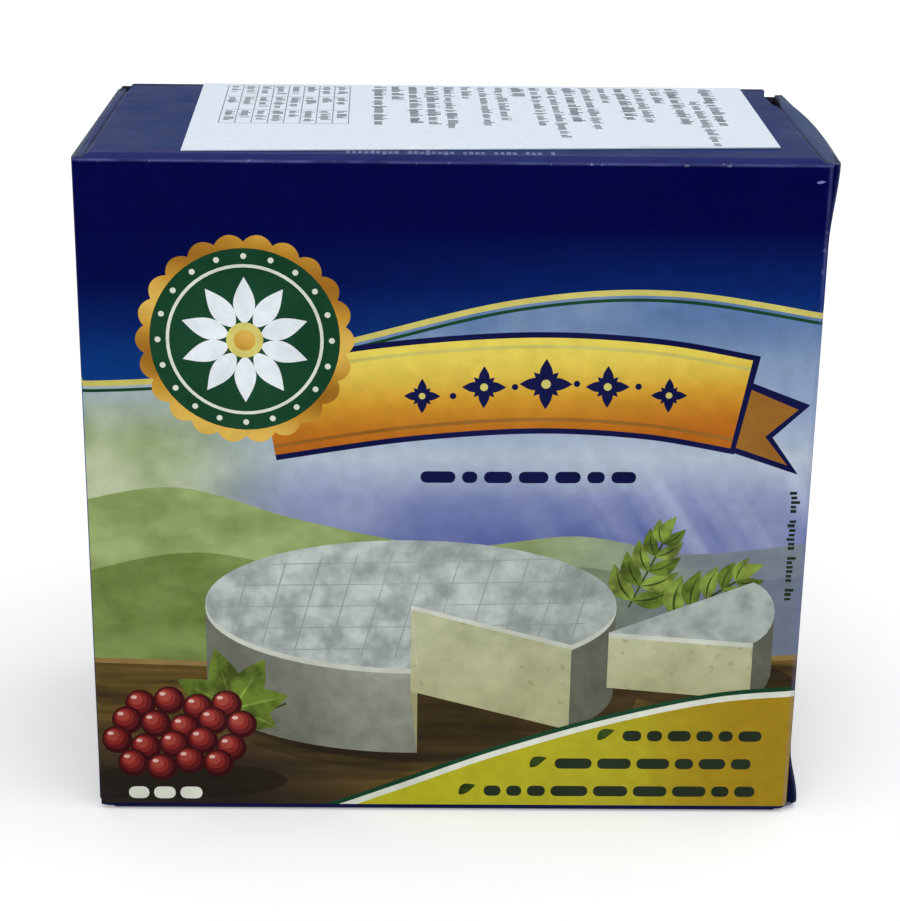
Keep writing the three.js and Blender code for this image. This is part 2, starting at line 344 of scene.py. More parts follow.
def offset_line(line, offset):
    """The line moved to its left by an offset."""
    moved = []
    for i, (x, y) in enumerate(line):
        x0, y0 = line[max(i - 1, 0)]
        x1, y1 = line[min(i + 1, len(line) - 1)]
        size = hypot(x1 - x0, y1 - y0)
        moved.append((x - (y1 - y0) / size * offset, y + (x1 - x0) / size * offset))
    return moved


def band(line, low, high):
    return offset_line(line, low) + offset_line(line, high)[::-1]


def below(line, bottom=-6):
    return line + [(line[-1][0], bottom), (line[0][0], bottom)]


def dashes(ink, x0, x1, y, height, rng, low=1.0, high=3.2, gap=0.7):
    """A row of short bars in place of words."""
    row = []
    x = x0
    while x < x1 - low:
        end = min(x + rng.uniform(low, high), x1)
        row.append((ink, rounded(x, y, end, y + height, min(height, end - x) * 0.45, 3)))
        x = end + gap
    return row


def small_print(ink, x0, x1, y, height, rng, pitch=0.52):
    """A row of narrow upright bars of uneven height, grouped like words."""
    row = []
    x = x0
    while x < x1 - pitch:
        for _ in range(rng.randint(2, 9)):
            low = -0.2 if rng.random() < 0.12 else 0.0
            high = rng.choice((0.6, 0.66, 0.72, 1.0))
            if x < x1 - pitch:
                width = pitch * rng.uniform(0.58, 0.78)
                row.append((ink, rect(x, y + low * height, x + width, y + high * height)))
            x += pitch
        x += pitch * 1.2
    return row


def placed(shapes, move):
    return [(ink, [move(px, py) for px, py in loop]) for ink, loop in shapes]


# Motifs

def rosette(cx, cy, r):
    """Round scalloped badge with a plain ten-petalled daisy."""
    shapes = [
        ("gold", scallop(cx, cy, r, r * 0.07, 22)),
        ("green", oval(cx, cy, r * 0.87, r * 0.87)),
        ("cream", oval(cx, cy, r * 0.72, r * 0.72)),
        ("green", oval(cx, cy, r * 0.69, r * 0.69)),
    ]
    for i in range(20):
        a = pi * i / 10
        spot = oval(cx + r * 0.795 * cos(a), cy + r * 0.795 * sin(a), r * 0.028, r * 0.028, 10)
        shapes.append(("cream", spot))
    for i in range(10):
        a = radians(36 * i + 18)
        x, y = cx + r * 0.15 * cos(a), cy + r * 0.15 * sin(a)
        shapes.append(("white", leaf(x, y, r * 0.45, r * 0.2, 36 * i + 18, 0)))
    shapes.append(("corn", oval(cx, cy, r * 0.17, r * 0.17, 28)))
    shapes.append(("gold", oval(cx, cy, r * 0.1, r * 0.1, 20)))
    return shapes


def diamond_flower(cx, cy, r):
    shapes = [("deep", leaf(cx, cy, r, r * 0.5, 90 * i, 0)) for i in range(4)]
    shapes += [("deep", leaf(cx, cy, r * 0.66, r * 0.3, 90 * i + 45, 0)) for i in range(4)]
    shapes.append(("corn", oval(cx, cy, r * 0.18, r * 0.18, 14)))
    return shapes


def ribbon():
    line = curve_through([(-22, 54.6), (-6, 57.2), (10, 58.4), (24, 57.7), (35, 55.8)])
    outer = line + [(35.7, 55.66)]
    tail = [(33.4, 49.9), (42.4, 46.8), (39.0, 51.6), (43.3, 55.8), (33.5, 59.6)]
    under = [(33.4, 50.7), (41.0, 48.0), (38.1, 51.7), (41.9, 55.2), (33.8, 58.7)]
    shapes = [
        ("deep", tail),
        ("bronze", under),
        ("deep", band(outer, -6.4, 6.4)),
        ("ribbon", band(line, -5.7, 5.7)),
        ("corn", band(line, 4.35, 4.8)),
        ("bronze", band(line, -4.8, -4.35)),
    ]
    for i, size in enumerate((0.76, 0.92, 1.1, 0.92, 0.76)):
        x = -3.4 + 7.4 * i
        y = 58.3 - 0.0068 * (x - 12) ** 2
        shapes += diamond_flower(x, y, 2.9 * size)
        if i < 4:
            shapes.append(("deep", oval(x + 3.7, y + 0.05, 0.4, 0.4, 14)))
    return shapes


def cheese(cx, cz, rx, rz, tall):
    """Round white-rinded cheese, seen from a little above, with one wedge taken out."""
    def rim(degrees, drop=0.0):
        a = radians(degrees)
        return cx + rx * cos(a), cz + rz * sin(a) - drop

    low, high = -88.0, -38.0
    front = [rim(a) for a in steps(180, 360, 40)]
    foot = [rim(a, tall) for a in steps(360, 180, 40)]
    lip = [(px, pz - 0.7) for px, pz in front]
    opening = [rim(a) for a in steps(low, high, 12)] + [rim(a, tall) for a in steps(high, low, 12)]
    apex, apex_foot = (cx, cz), (cx, cz - tall)
    shapes = [
        ("shade_soft", oval(cx + 2.8, cz - tall - 1.5, rx * 1.13, rz * 1.14)),
        ("shade", oval(cx + 2.0, cz - tall - 0.9, rx * 1.04, rz * 1.04)),
        ("rind_side", front + foot),
        ("rind_lip", front + lip[::-1]),
        ("rind", oval(cx, cz, rx, rz, 72)),
    ]
    for i in range(-5, 6):
        x = cx + i * rx / 6
        half = rz * sqrt(1 - (i / 6) ** 2) * 0.84
        slant = 2.4 * half / rz
        shapes.append(("rind_mark", band([(x - slant, cz - half), (x + slant, cz + half)], -0.08, 0.08)))
    for i in range(-2, 3):
        z = cz + i * rz / 3
        half = rx * sqrt(1 - (i / 3) ** 2) * 0.9
        shapes.append(("rind_mark", band([(cx - half, z - 0.5), (cx + half, z + 0.5)], -0.06, 0.06)))
    shapes += [
        ("shade", [apex] + opening),
        ("paste", [apex, rim(low), rim(low, tall), apex_foot]),
        ("paste_light", [apex, apex_foot, rim(high, tall), rim(high)]),
        ("rind_lip", [apex, rim(low), rim(low, 0.6), (cx, cz - 0.6)]),
        ("rind_lip", [apex, (cx, cz - 0.6), rim(high, 0.6), rim(high)]),
    ]
    return shapes


def wedge(x, z, size):
    """The wedge that was cut out, lying in front with its point to the left."""
    def at(px, pz):
        return x + px * size, z + pz * size

    nose = arc(14.5, 7.0, 4.2, -62, 68, 10)
    seen_side = nose[:6]
    top = [(0, 7.2)] + [(px, pz + 2.6) for px, pz in nose]
    rind = [(px, pz + 2.6) for px, pz in seen_side] + [(px, pz - 4.6) for px, pz in seen_side[::-1]]
    cut = [(0, 7.2), (nose[0][0], nose[0][1] + 2.6), (nose[0][0], nose[0][1] - 4.6), (0, 0.2)]
    edge = [(0, 7.2), (nose[0][0], nose[0][1] + 2.6), (nose[0][0], nose[0][1] + 2.0), (0, 6.6)]
    shadow = oval(10.8, 0.9, 10.6, 2.9)
    parts = [("shade", shadow), ("paste_light", cut), ("rind_side", rind), ("rind", top), ("rind_lip", edge)]
    return placed(parts, at)


def grape(cx, cz, r):
    """Round grape, lit from the upper left: ever lighter discs, each a little further that way."""
    shapes = []
    for i, ink in enumerate(("grape_rim", "grape_dark", "grape", "grape_light")):
        size = r * (1 - 0.2 * i)
        shapes.append((ink, oval(cx - r * 0.09 * i, cz + r * 0.1 * i, size, size, 30)))
    shapes.append(("shine", oval(cx - r * 0.42, cz + r * 0.46, r * 0.2, r * 0.13, 12)))
    return shapes


def grapes(x, z, r):
    """Bunch that lies on its side, its stalk at the right."""
    stalk = curve_through([(x + 9 * r, z + 4 * r), (x + 11 * r, z + 5 * r)], 6)
    fan_x, fan_z = x + 7.6 * r, z + 4.6 * r
    lobes = [(150, 5.2), (105, 5.6), (60, 5.2), (15, 4.6), (-25, 3.8)]
    shapes = [
        ("shade", oval(x + 4.6 * r, z - 0.7 * r, 6.4 * r, 1.3 * r, 40)),
        ("leaf_dark", band(stalk, -0.15, 0.15)),
    ]
    shapes += [("leaf", leaf(fan_x, fan_z, r * long * 0.8, r * 2.1, turn, 0)) for turn, long in lobes]
    shapes += [("leaf_light", leaf(fan_x, fan_z, r * 3.4, r * 0.16, turn, 0)) for turn, _ in lobes]
    for row, (first, count) in enumerate(((1.6, 4), (0.7, 5), (0.0, 5), (1.0, 4))):
        for i in range(count):
            lift = 0.3 * sin(2.1 * i + row)
            shapes += grape(x + r * (first + 1.85 * i), z + r * (4.9 - 1.45 * row + lift), r)
    return shapes


def sprig(x, z, size, degrees):
    """Spray of plain pointed leaves on a stalk."""
    turn = radians(degrees)

    def along(t):
        return x + size * 9 * t * cos(turn), z + size * 9 * t * sin(turn)

    shapes = [("leaf_dark", band([along(0), along(0.5), along(1)], -0.12 * size, 0.12 * size))]
    for i, t in enumerate((0.1, 0.32, 0.54, 0.76, 0.95)):
        px, pz = along(t)
        long = size * (5.4 - 2.4 * t)
        for side in (1, -1):
            tilt = degrees + side * (52 - 22 * t)
            ink = "leaf_light" if (i + (side > 0)) % 2 else "leaf"
            shapes.append((ink, leaf(px, pz, long, long * 0.46, tilt, side * 0.1)))
            shapes.append(("leaf_dark", leaf(px, pz, long * 0.85, long * 0.05, tilt, side * 0.1)))
    shapes.append(("leaf_light", leaf(*along(1), size * 3.2, size * 1.4, degrees)))
    return shapes


# Print of each panel, later shapes over earlier ones

SWEEP = [(-46, 57.5), (-30, 58.6), (-12, 63.2), (8, 68.2), (26, 69.4), (46, 66.4)]
END_SWEEP = [(-26, 57.3), (-20, 57.6), (-8, 60.2), (6, 64.4), (20, 66.8), (26, 66.9)]
WAVE = [(-26, -3.4), (-16, -0.6), (-6, 3.2), (6, 8.0), (20, 12.6), (34, 15.9), (46, 17.0)]


def sweep_shapes(line):
    return [
        ("pale", below(line)),
        ("corn", band(line, -0.1, 0.62)),
        ("green", band(line, -0.85, -0.45)),
    ]


def front_art():
    rng = random.Random(4)
    shapes = sweep_shapes(curve_through(SWEEP, 64))
    far = curve_through(
        [(-46, 42.5), (-33, 44.6), (-18, 40.5), (0, 37.2), (16, 38.6), (30, 36.2), (46, 38.0)])
    near = curve_through([(-46, 33.0), (-30, 36.0), (-8, 31.8), (14, 34.6), (30, 32.0), (46, 33.6)])
    table = curve_through([(-46, 21.6), (0, 20.8), (46, 22.6)], 12)
    shapes += [
        ("meadow_far", below(far)),
        ("meadow", below(near)),
        ("wood", below(table)),
        ("wood_edge", band(table, -0.7, 0.0)),
    ]
    shapes += sprig(22.5, 29.0, 1.1, 66) + sprig(27.5, 27.0, 1.15, 34)
    shapes += cheese(-4.5, 29.2, 25.5, 8.8, 12.0)
    shapes += wedge(20.2, 17.6, 1.1)
    shapes += grapes(-41.6, 5.6, 1.95)
    wave = curve_through(WAVE, 64)
    shapes += [
        ("yellow", below(wave)),
        ("cream", band(wave, -0.2, 0.6)),
        ("green", band(wave, 0.6, 1.2)),
    ]
    for start, z in ((22.5, 10.2), (14.0, 6.2), (5.0, 2.2)):
        shapes.append(("leaf_dark", leaf(start - 3.2, z + 0.2, 2.6, 1.3, 32)))
        shapes += dashes("text_dark", start, 40.5, z, 1.5, rng, 1.6, 5.0, 0.7)
    shapes += dashes("cream", -40.4, -31, 1.6, 1.7, rng, 1.6, 3.2, 0.6)
    shapes += ribbon() + rosette(-24.5, 63.5, 13.0)
    shapes += dashes("deep", -3.5, 24.5, 45.6, 1.5, rng, 1.6, 4.6, 0.8)
    upright = small_print("text_dark", 30, 45, 41.8, 1.1, rng, 0.6)
    shapes += placed(upright, lambda x, y: (y, x))
    shapes.append(("scuff", leaf(42.1, 83.2, 1.1, 0.36, 8, 0)))
    # Dark band along the foot of the front and round its bottom crease: painted shade at the foot.
    shapes.append(("deep", rect(-46, -3, 46, 0.9)))
    # Lighter blue over the front's top crease: painted sheen where the rounded crease catches the light.
    shapes.append(("fold", rect(-46, HEIGHT - 0.7, 46, HEIGHT + 3)))
    shapes += placed(brink_print(), lambda x, y: (x, y + DEPTH / 2 + S_TOP - S_FRONT))
    return placed(shapes, lambda x, z: (x, S_FRONT + z - FOLD))


def brink_print():
    """Small print along the front of the top panel, half hidden by the sticker, in the part's x and y."""
    return small_print("mist", -12.5, 12.5, -20.0, 1.9, random.Random(9), 0.7)


def top_art():
    shapes = brink_print()
    # Thin dark strip on each end crease of the top panel: painted shade in the crease.
    for end in (RIGHT, LEFT):
        near, far = end.side * (end.crease - 0.12), end.side * (end.crease + 0.2)
        shapes.append(("dim", rect(near, -DEPTH / 2, far, DEPTH / 2)))
    return placed(shapes, lambda x, y: (x, S_TOP + y + DEPTH / 2 - FOLD))


def fact_table(x0, z0, x1, z1, rows, rng):
    """Pale panel with ruled rows and bars, as on the back of such a pack."""
    shapes = [
        ("deep", rounded(x0 - 0.5, z0 - 0.5, x1 + 0.5, z1 + 0.5, 1.4)),
        ("white", rounded(x0, z0, x1, z1, 1.0)),
    ]
    step = (z1 - z0) / rows
    split = lerp(x0, x1, 0.62)
    for i in range(rows):
        z = z0 + step * i
        if i:
            shapes.append(("text_dark", rect(x0 + 1, z - 0.08, x1 - 1, z + 0.08)))
        middle = z + step * 0.34
        shapes += small_print("text_dark", x0 + 1.6, split - rng.uniform(1, 8), middle, 1.3, rng, 0.62)
        shapes += small_print("text_dark", split + 1, x1 - rng.uniform(2, 7), middle, 1.3, rng, 0.62)
    return shapes


def back_art():
    rng = random.Random(21)
    shapes = sweep_shapes(curve_through(SWEEP, 64))
    shapes += fact_table(-36, 11, 2, 49, 9, rng)
    shapes += rosette(24, 55, 9.0)
    for i in range(9):
        shapes += small_print("text_dark", 8, 38 - rng.uniform(0, 6), 39.5 - 2.6 * i, 1.3, rng, 0.62)
    shapes.append(("green", rounded(7.5, 6.5, 38.5, 14.5, 1.6)))
    shapes.append(("yellow", rounded(8, 7, 38, 14, 1.3)))
    shapes += dashes("green", 11, 35, 9.8, 1.5, rng, 2.4, 5)
    shapes += [("royal", rect(-46, -3, 46, 3.4)), ("corn", rect(-46, 3.4, 46, 3.9))]
    return placed(shapes, lambda x, z: (-x, S_BACK + HEIGHT - FOLD - z))


def end_art(end):
    rng = random.Random(31 + end.side)
    middle = T_FACE + FACE_RUN / 2
    line = curve_through(END_SWEEP, 40)
    if end is RIGHT:
        line = [(-x, z) for x, z in reversed(line)]
    shapes = [("royal", below(line)), ("corn", band(line, -0.1, 0.62))] + rosette(0, 43, 10.5)
    shapes.append(("deep", rounded(-14.2, 20.6, 14.2, 28.4, 1.3)))
    shapes.append(("gold", rounded(-13.6, 21.2, 13.6, 27.8, 0.9)))
    for x in (-9.2, -3.1, 3.1, 9.2):
        shapes += diamond_flower(x, 24.5, 2.3)
    for i in range(3):
        width = 13 - 2.5 * i
        shapes += small_print("mist", -width, width, 14 - 3 * i, 1.5, rng, 0.7)
    return placed(shapes, lambda x, z: (middle - x, z))


def bottom_art():
    rng = random.Random(53)
    shapes = [
        ("corn", rounded(-30.8, -11.8, 30.8, 11.8, 2.2)),
        ("white", rounded(-30, -11, 30, 11, 1.6)),
    ]
    for i in range(5):
        shapes += small_print("text_dark", -26, 26 - rng.uniform(0, 14), 6.5 - 3.6 * i, 1.5, rng, 0.7)
    return placed(shapes, lambda x, y: (x, S_BOTTOM + INNER_BACK - FOLD - y))


def label_art():
    """Ruled table at the left, then lines of small print that run from the back towards the front."""
    rng = random.Random(71)
    x0, x1, back, front = 3.4, 19.4, -1.2, -24.8
    rows = [back, back - 7.2, back - 15.6, front]
    shapes = [("label_rule", rect(x0, b - 0.08, x1, b + 0.08)) for b in rows]
    shapes += [("label_rule", rect(x - 0.07, front, x + 0.07, back)) for x in steps(x0, x1, 8)]

    def line(x, start, length, height, ink):
        print_row = small_print(ink, 0, length, -0.4 * height, height, rng)
        return placed(print_row, lambda along, across: (x + across, start - along))

    for i in range(8):
        x = lerp(x0, x1, (i + 0.5) / 8)
        for j in range(3):
            room = rows[j] - rows[j + 1] - 1.2
            shapes += line(x, rows[j] - 0.6, rng.uniform(0.55, 1.0) * room, 1.25, "label_soft")
    layout = random.Random(256)
    columns = 20
    for i in range(columns):
        x = lerp(23.2, 66.0, i / (columns - 1))
        short = layout.random() < 0.25
        length = layout.uniform(5, 10) if short else layout.uniform(20, 31)
        bold = layout.random() < 0.4
        start = -9.4 if i == columns - 2 else -1.2
        shapes += line(x, start, length, 1.6 if bold else 1.3, "label_ink" if bold else "label_soft")
    for x in steps(26, 62, 9):
        shapes += line(x, TURN + rng.uniform(2.4, 4), 2, 1.1, "label_soft")
    return shapes


# Inks. Colours are given as they are seen in the photo's light, from 0 to 255.

FRONT_LIGHT = 1.0
TOP_LIGHT = 1.08


def linear(value):
    value /= 255
    return value / 12.92 if value <= 0.04045 else ((value + 0.055) / 1.055) ** 2.4


def seen(r, g, b, light=FRONT_LIGHT):
    return (*(min(linear(v) / light, 0.9) for v in (r, g, b)), 1.0)


class Graph:
    """Node graph of one material, around one Principled shader."""

    def __init__(self, name, specular):
        self.material = bpy.data.materials.new(name)
        self.material.use_nodes = True
        self.tree = self.material.node_tree
        self.shader = self.tree.nodes["Principled BSDF"]
        self.shader.inputs["Specular IOR Level"].default_value = specular
        self.place = self.node("ShaderNodeTexCoord").outputs["Object"]
        self.x, _, self.z = self.node("ShaderNodeSeparateXYZ", {0: self.place}).outputs

    def node(self, kind, inputs=None, **settings):
        node = self.tree.nodes.new(kind)
        for name, value in settings.items():
            setattr(node, name, value)
        for key, value in (inputs or {}).items():
            if isinstance(value, bpy.types.NodeSocket):
                self.tree.links.new(value, node.inputs[key])
            else:
                node.inputs[key].default_value = value
        return node

    def math(self, operation, a, b=0.0):
        return self.node("ShaderNodeMath", {0: a, 1: b}, operation=operation).outputs[0]

    def times(self, a, b):
        return self.math("MULTIPLY", a, b)

    def noise(self, scale, detail=2.0, stretch=(1, 1, 1), at=None, distortion=0.0):
        """Noise from 0 to 1, with scale in waves per millimetre."""
        place = self.node("ShaderNodeVectorMath", {0: at or self.place, 1: stretch}, operation="MULTIPLY")
        inputs = {"Vector": place.outputs[0], "Scale": scale / MM, "Detail": detail, "Distortion": distortion}
        return self.node("ShaderNodeTexNoise", inputs).outputs["Fac"]

    def patches(self, scale, detail, low=0.0, high=1.0, stretch=(1, 1, 1)):
        """Noise with more contrast, from low to high."""
        return self.remap(self.noise(scale, detail, stretch), 0.35, 0.65, low, high)

    def span(self, value, low, high):
        """Runs from 0 to 1 as a value in metres goes from low to high, given in millimetres."""
        inputs = {"Value": value, "From Min": low * MM, "From Max": high * MM}
        return self.node("ShaderNodeMapRange", inputs, interpolation_type="SMOOTHSTEP").outputs[0]

    def across(self, low, high):
        return self.span(self.x, low, high)

    def height(self, low, high):
        return self.span(self.z, low, high)

    def remap(self, value, low, high, new_low=0.0, new_high=1.0):
        inputs = {"Value": value, "From Min": low, "From Max": high, "To Min": new_low, "To Max": new_high}
        return self.node("ShaderNodeMapRange", inputs).outputs[0]

    def ramp(self, value, *stops):
        """Colours along a value. A stop is a position and a colour as it is seen."""
        node = self.node("ShaderNodeValToRGB", {0: value})
        elements = node.color_ramp.elements
        while len(elements) < len(stops):
            elements.new(0.5)
        for element, (position, *rgb) in zip(elements, stops):
            element.position = position
            element.color = seen(*rgb)
        return node.outputs[0]

    def mix(self, factor, a, b, blend="MIX"):
        inputs = {0: factor, 6: a, 7: b}
        return self.node("ShaderNodeMix", inputs, data_type="RGBA", blend_type=blend).outputs[2]

    def shaded(self, colour, value):
        """Colour made darker or lighter by a value around 1."""
        grey = self.node("ShaderNodeCombineColor", {0: value, 1: value, 2: value}).outputs[0]
        return self.mix(1.0, colour, grey, "MULTIPLY")

    def bump(self, *layers):
        """Chains height fields, each with its depth in millimetres."""
        normal = None
        for height, depth in layers:
            inputs = {"Height": height, "Distance": depth * MM}
            if normal:
                inputs["Normal"] = normal
            normal = self.node("ShaderNodeBump", inputs).outputs[0]
        self.tree.links.new(normal, self.shader.inputs["Normal"])

    def finish(self, colour, roughness, low, high):
        self.tree.links.new(colour, self.shader.inputs["Base Color"])
        self.tree.links.new(self.remap(roughness, 0.3, 0.7, low, high), self.shader.inputs["Roughness"])
        return self.material


# Pale blue-purple along creases: painted highlight on the crease, mixed with ink rubbed down towards the
# paper.
SHEEN_AND_PAPER_SHOWING = seen(96, 104, 160)
BARE_PAPER = seen(214, 214, 222)


def printed(name, paint):
    """Coated printed board: mottled ink, creases pale from rubbed ink and a painted highlight, faint fibres
    under the varnish.
    """
    g = Graph(name, 0.02)
    colour = g.shaded(paint(g), g.remap(g.noise(0.55, 4), 0.3, 0.7, 0.92, 1.08))
    wear_and_sheen = g.node("ShaderNodeAttribute", attribute_name="wear_and_sheen").outputs["Fac"]
    # Soft pale band along each crease: painted highlight together with rubbed ink.
    soft = g.times(g.times(wear_and_sheen, wear_and_sheen), g.patches(0.22, 4, 0.25, 0.8))
    colour = g.mix(soft, colour, SHEEN_AND_PAPER_SHOWING)
    spots = g.times(wear_and_sheen, g.remap(g.noise(1.3, 3), 0.64, 0.74))
    colour = g.mix(g.times(spots, 0.3), colour, BARE_PAPER)
    g.bump((g.noise(0.035, 1), 0.03), (g.noise(1.6, 3), 0.005))
    return g.finish(colour, g.noise(0.18, 3), 0.3, 0.42)


def flat_paint(r, g, b, spread=10):
    """One colour with soft drifts a little lighter and darker."""
    dark, light = (seen(*(max(v + change, 0) for v in (r, g, b))) for change in (-spread, spread))
    return lambda graph: graph.mix(graph.remap(graph.noise(0.06, 2), 0.3, 0.7), dark, light)


def navy_paint(g):
    """Dark blue that turns to a clear mid blue towards the foot of the band."""
    height = g.height(57, 86)
    left = g.ramp(height, (0.0, 6, 50, 114), (0.2, 3, 28, 88), (0.45, 0, 7, 65), (0.8, 0, 3, 61))
    right = g.ramp(height, (0.0, 20, 66, 128), (0.4, 6, 34, 98), (0.8, 0, 1, 60))
    return g.mix(g.across(-40, 40), left, right)


def navy_top_paint(g):
    """Dull dark blue, lighter than the front's navy partly as painted sheen, and paler and greyer over the
    bowed end as painted sheen.
    """
    drift = g.noise(0.02, 1)
    blue = g.mix(drift, seen(24, 44, 98, TOP_LIGHT), seen(30, 50, 104, TOP_LIGHT))
    # Paler, greyer blue over the bowed end: painted sheen.
    bowed = g.times(g.across(42.4, 43.6), g.height(80, 83))
    return g.mix(g.times(bowed, 0.8), blue, seen(58, 76, 112, TOP_LIGHT))


def pale_paint(g):
    """Blurred sky below the sweep: green blur at the left, soft slanting rays at the right."""
    sky = g.ramp(
        g.height(22, 68),
        (0.0, 88, 96, 136),
        (0.28, 84, 94, 150),
        (0.45, 112, 122, 166),
        (0.62, 164, 176, 190),
        (0.8, 132, 150, 180),
        (0.94, 124, 144, 174),
        (1.0, 84, 112, 154),
    )
    slant = g.math("ADD", g.x, g.times(g.z, 0.62))
    streak = g.node("ShaderNodeCombineXYZ", {0: slant}).outputs[0]
    rays = g.remap(g.noise(0.16, 2, at=streak), 0.42, 0.66)
    rays = g.times(g.times(rays, g.across(2, 30)), g.height(66, 44))
    sky = g.mix(g.times(rays, 0.42), sky, seen(188, 196, 214))
    cloud = g.remap(g.noise(0.045, 3), 0.45, 0.7)
    sky = g.mix(g.times(cloud, 0.3), sky, seen(186, 196, 206))
    blur = g.times(g.across(-16, -36), g.height(62, 50))
    spots = g.remap(g.noise(0.09, 2), 0.4, 0.6)
    foliage = g.mix(spots, seen(136, 152, 96), seen(176, 186, 146))
    return g.mix(g.times(blur, 0.9), sky, foliage)


def meadow_paint(*rgb):
    """Clumps of grass that fade into haze at the right."""
    def paint(g):
        clumps = g.patches(0.12, 3, stretch=(1, 1, 1.8))
        grass = g.mix(clumps, seen(*rgb), seen(*(v + 26 for v in rgb)))
        return g.mix(g.times(g.across(0, 40), 0.75), grass, seen(104, 110, 142))
    return paint


def wood_paint(g):
    """Grained table top, dark at the lower left."""
    grain = g.noise(0.22, 5, (0.16, 1, 1.6), distortion=0.6)
    fine = g.noise(1.0, 3, (0.08, 1, 1.4))
    wood = g.ramp(grain, (0.3, 48, 38, 24), (0.5, 92, 74, 36), (0.68, 124, 98, 52))
    wood = g.shaded(wood, g.remap(fine, 0.3, 0.7, 0.78, 1.14))
    dusk = g.times(g.across(6, -30), g.height(17, 5))
    return g.mix(g.times(dusk, 0.88), wood, seen(26, 24, 28))


def rind_paint(g):
    """White mould in patches, duller at the right."""
    rind = g.mix(g.patches(0.35, 4), seen(140, 149, 146), seen(182, 190, 186))
    return g.mix(g.across(-2, 22), rind, g.mix(0.3, rind, seen(112, 118, 112)))


def rind_side_paint(g):
    """Rind on the round side, lightest in the middle and dull at the foot."""
    side = g.ramp(
        g.across(-30, 22),
        (0.0, 104, 106, 96),
        (0.35, 152, 156, 144),
        (0.55, 146, 150, 138),
        (1.0, 92, 94, 82),
    )
    side = g.mix(g.times(g.height(26, 9), 0.45), side, seen(84, 82, 68))
    return g.shaded(side, g.patches(0.4, 4, 0.86, 1.08))


def paste_paint(*rgb):
    """Soft cheese with a few small holes."""
    def paint(g):
        paste = g.mix(g.patches(0.16, 3), seen(*rgb), seen(*(v + 16 for v in rgb)))
        paste = g.mix(g.times(g.height(26, 13), 0.4), paste, seen(146, 142, 100))
        holes = g.remap(g.noise(0.8, 2), 0.66, 0.7)
        return g.mix(g.times(holes, 0.35), paste, seen(116, 112, 72))
    return paint


def shade_paint(amount):
    """The table in a shadow."""
    return lambda g: g.mix(amount, wood_paint(g), seen(30, 26, 20))


def gold_paint(g):
    """Bronze at the foot of a motif, bright in the middle."""
    slant = g.math("ADD", g.times(g.x, 0.25), g.z)
    wave = g.math("SINE", g.times(slant, 2 * pi / (14 * MM)))
    return g.ramp(g.remap(wave, -1, 1), (0.0, 146, 98, 30), (0.5, 182, 134, 46), (1.0, 206, 168, 78))


def ribbon_paint(g):
    """Orange at the lower edge, yellow at the upper one."""
    height = g.span(g.math("ADD", g.z, g.times(g.x, -0.04)), 50.5, 63)
    return g.ramp(height, (0.0, 170, 96, 26), (0.45, 196, 146, 44), (1.0, 214, 196, 84))


def royal_paint(g):
    """Mid blue that darkens to navy towards the foot."""
    return g.ramp(g.height(8, 62), (0.0, 8, 10, 40), (0.5, 6, 34, 96), (1.0, 24, 74, 138))


def yellow_paint(g):
    """Lemon at the left, turning to gold in patches at the right."""
    base = g.ramp(g.across(-10, 42), (0.0, 172, 168, 36), (0.75, 168, 160, 40), (1.0, 150, 124, 30))
    gold = g.times(g.remap(g.noise(0.045, 2), 0.42, 0.6), g.across(16, 34))
    return g.mix(g.times(gold, 0.35), base, seen(152, 118, 22))


def leaf_paint(*rgb):
    dark, light = (seen(*(v * share for v in rgb)) for share in (0.72, 1.16))
    return lambda g: g.mix(g.patches(0.5, 3), dark, light)


# Inks of one colour: red, green, blue and, where it isn't the usual one, their spread
FLAT_INKS = {
    # deep: dark print ink, also used as painted shade at the front's foot.
    "deep": (14, 18, 62, 4),
    "mist": (104, 112, 150),
    "wood_edge": (132, 108, 62),
    "rind_lip": (186, 190, 178),
    "rind_mark": (140, 148, 144),
    "grape_rim": (52, 14, 18, 5),
    "grape_dark": (88, 24, 26, 8),
    "grape": (124, 38, 34),
    "grape_light": (150, 62, 52),
    "shine": (206, 168, 158),
    "bronze": (138, 92, 34),
    "corn": (190, 180, 96),
    "green": (22, 62, 40, 6),
    "cream": (206, 210, 196, 8),
    "white": (214, 220, 224, 6),
    "text_dark": (34, 44, 30, 6),
    # fold: lighter blue for the front's top crease, painted sheen.
    "fold": (38, 44, 96, 6),
    # Painted shade for the top panel's end creases.
    "dim": (18, 26, 66, 6),
    "scuff": (118, 120, 176),
}
PRINT_INKS = {ink: flat_paint(*colour) for ink, colour in FLAT_INKS.items()}
PRINT_INKS.update({
    "navy": navy_paint,
    "navy_top": navy_top_paint,
    "pale": pale_paint,
    "meadow_far": meadow_paint(124, 140, 84),
    "meadow": meadow_paint(92, 110, 50),
    "wood": wood_paint,
    "shade": shade_paint(0.72),
    "shade_soft": shade_paint(0.4),
    "rind": rind_paint,
    "rind_side": rind_side_paint,
    "paste": paste_paint(142, 143, 104),
    "paste_light": paste_paint(164, 166, 130),
    "leaf": leaf_paint(88, 106, 40),
    "leaf_light": leaf_paint(112, 130, 56),
    "leaf_dark": leaf_paint(50, 66, 26),
    "gold": gold_paint,
    "ribbon": ribbon_paint,
    "yellow": yellow_paint,
    "royal": royal_paint,
})


def board_back():
    """Unprinted back of the board with its fibres, kept dark blue-grey instead of grey-brown: painted shade
    for the carton's inside seen through the slits.
    """
    g = Graph("board_back", 0.15)
    fibre = g.noise(0.9, 5, (1, 0.35, 1))
    colour = g.ramp(fibre, (0.32, 36, 35, 50), (0.55, 54, 52, 64), (0.7, 76, 73, 80))
    g.bump((g.noise(1.4, 4), 0.02))
    return g.finish(colour, fibre, 0.78, 0.92)


